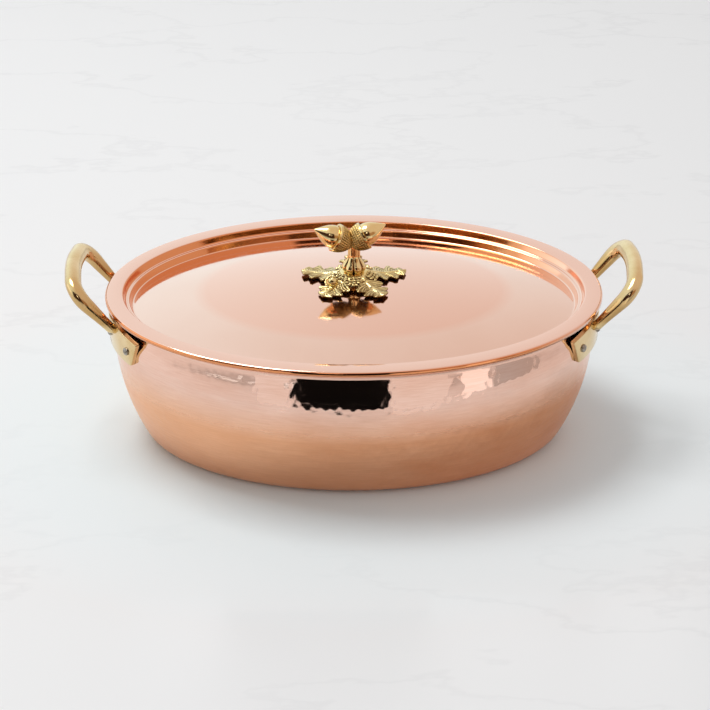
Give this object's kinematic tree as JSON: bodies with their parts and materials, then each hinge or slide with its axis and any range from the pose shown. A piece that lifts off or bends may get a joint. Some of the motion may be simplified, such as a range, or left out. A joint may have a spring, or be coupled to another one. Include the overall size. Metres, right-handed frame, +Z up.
{
  "type": "oval roasting pan",
  "caption": "Low oval roasting pan of hammered copper with a stepped, domed lid, brass loop handles riveted at the ends, and a brass oak-leaf finial with acorns.",
  "frame": {"origin": "on the table, under the middle of the pan's flat base", "axes": "+Z up, +X along the long axis through both handles, +Y away from the front"},
  "size_m": [0.4026, 0.245, 0.1605],
  "materials": {
    "pan_copper": "hammered copper, satin polish",
    "lid_copper": "smooth copper, fine polish",
    "handle_brass": "cast brass, polished",
    "leaf_brass": "cast brass, bright",
    "acorn_brass": "cast brass, polished nuts and textured cups",
    "rivet_metal": "dull grey metal",
    "washer_steel": "plain",
    "screw_steel": "plain"
  },
  "bodies": {
    "pan": {"pan_body": "pan_copper", "left_handle": "handle_brass", "right_handle": "handle_brass", "left_front_outer_rivet": "rivet_metal", "left_front_inner_rivet": "rivet_metal", "left_rear_inner_rivet": "rivet_metal", "left_rear_outer_rivet": "rivet_metal", "right_front_outer_rivet": "rivet_metal", "right_front_inner_rivet": "rivet_metal", "right_rear_inner_rivet": "rivet_metal", "right_rear_outer_rivet": "rivet_metal"},
    "lid": {"lid": "lid_copper", "finial_leaves": "leaf_brass", "finial_acorns": "acorn_brass", "finial_washer": "washer_steel", "finial_screw": "screw_steel"}
  },
  "joints": [
    {"name": "lid_lift", "type": "slide", "parent": "pan", "child": "lid", "axis": [0, 0, 1], "range_m": [0, 0.15]}
  ]
}
